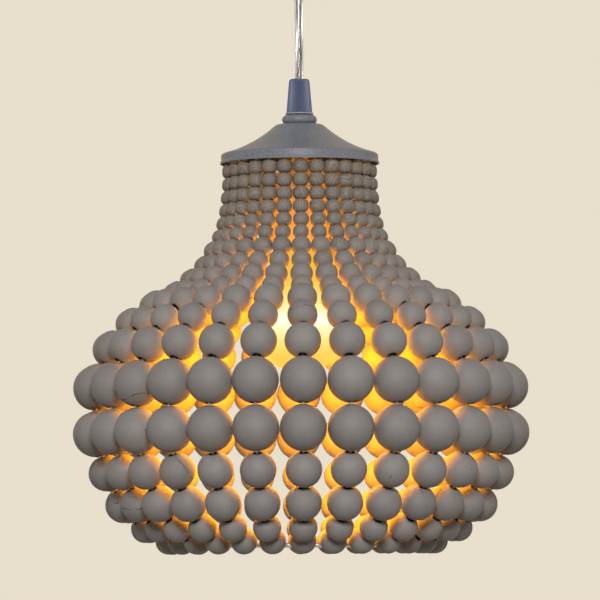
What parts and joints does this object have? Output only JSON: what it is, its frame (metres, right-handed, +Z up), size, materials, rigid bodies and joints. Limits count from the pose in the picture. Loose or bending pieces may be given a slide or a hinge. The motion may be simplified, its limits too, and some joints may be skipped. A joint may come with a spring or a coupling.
{
  "type": "beaded pendant lamp",
  "caption": "Pendant lamp with a flared, full-bellied shade of drilled wooden balls on steel wires, hung on a clear twisted cord from a ceiling rose.",
  "frame": {"origin": "middle of the flat top of the ceiling bracket, on the ceiling", "axes": "+Z straight up out of the ceiling bracket, -Y towards the front of the picture, +X to its right"},
  "size_m": [0.3054, 0.3054, 0.423],
  "materials": {
    "painted_wood": "matte warm grey wash over turned balls",
    "painted_steel": "blue-grey paint with a fine sandy texture",
    "ribbed_plastic": "moulded blue-grey nylon",
    "plain_steel": "bright zinc-plated wire and pressings",
    "brass": "pressed brass",
    "bulb_metal": "nickel-bright lamp cap",
    "dark_plastic": "moulded phenolic",
    "white_plastic": "moulded white plastic",
    "porcelain": "glazed porcelain",
    "clear_vinyl": "clear sheath over twisted conductors",
    "lit_diffuser": "frosted diffuser, lit warm"
  },
  "bodies": {
    "rose": {"ceiling_bracket": "plain_steel", "rose_cup": "painted_steel", "rose_screw_left": "plain_steel", "rose_screw_right": "plain_steel", "rose_cord_grip": "ribbed_plastic", "rose_grip_nut": "dark_plastic", "terminal_block": "white_plastic", "rose_cord_tail": "clear_vinyl"},
    "cord": {"cord": "clear_vinyl"},
    "grip": {"cord_grip": "ribbed_plastic", "lamp_cord_tail": "clear_vinyl"},
    "lamp": {"collar": "painted_steel", "top_cap": "painted_steel", "threaded_tube": "plain_steel", "washer": "plain_steel", "lock_nut": "plain_steel", "top_ring": "plain_steel", "bottom_hoop": "plain_steel", "holder_cap": "white_plastic", "holder_body": "white_plastic", "holder_insert": "porcelain", "screw_shell": "brass", "centre_contact": "brass", "bead_string_01": "painted_wood", "bead_string_02": "painted_wood", "bead_string_03": "painted_wood", "bead_string_04": "painted_wood", "bead_string_05": "painted_wood", "bead_string_06": "painted_wood", "bead_string_07": "painted_wood", "bead_string_08": "painted_wood", "bead_string_09": "painted_wood", "bead_string_10": "painted_wood", "bead_string_11": "painted_wood", "bead_string_12": "painted_wood", "bead_string_13": "painted_wood", "bead_string_14": "painted_wood", "bead_string_15": "painted_wood", "bead_string_16": "painted_wood", "bead_string_17": "painted_wood", "bead_string_18": "painted_wood", "bead_string_19": "painted_wood", "bead_string_20": "painted_wood", "bead_string_21": "painted_wood", "bead_string_22": "painted_wood", "bead_string_23": "painted_wood", "bead_string_24": "painted_wood", "bead_string_25": "painted_wood", "bead_string_26": "painted_wood", "bead_string_27": "painted_wood", "bead_string_28": "painted_wood"},
    "bulb": {"bulb_cap": "bulb_metal", "bulb_insulator": "dark_plastic", "bulb_contact": "bulb_metal", "bulb_body": "white_plastic", "bulb_globe": "lit_diffuser"}
  },
  "joints": [
    {"name": "cord_swing", "type": "hinge", "parent": "rose", "child": "cord", "pos_m": [0, 0, -0.0411], "axis": [1, 0, 0], "range_deg": [-20, 20]},
    {"name": "lamp_tilt", "type": "hinge", "parent": "cord", "child": "grip", "pos_m": [0, 0, -0.106], "axis": [0, 1, 0], "range_deg": [-20, 20]},
    {"name": "lamp_turn", "type": "hinge", "parent": "grip", "child": "lamp", "pos_m": [0, 0, -0.1284], "axis": [0, 0, 1], "range_deg": [-180, 180]},
    {"name": "bulb_withdraw", "type": "slide", "parent": "lamp", "child": "bulb", "axis": [0, 0, -1], "range_m": [0, 0.24]}
  ]
}
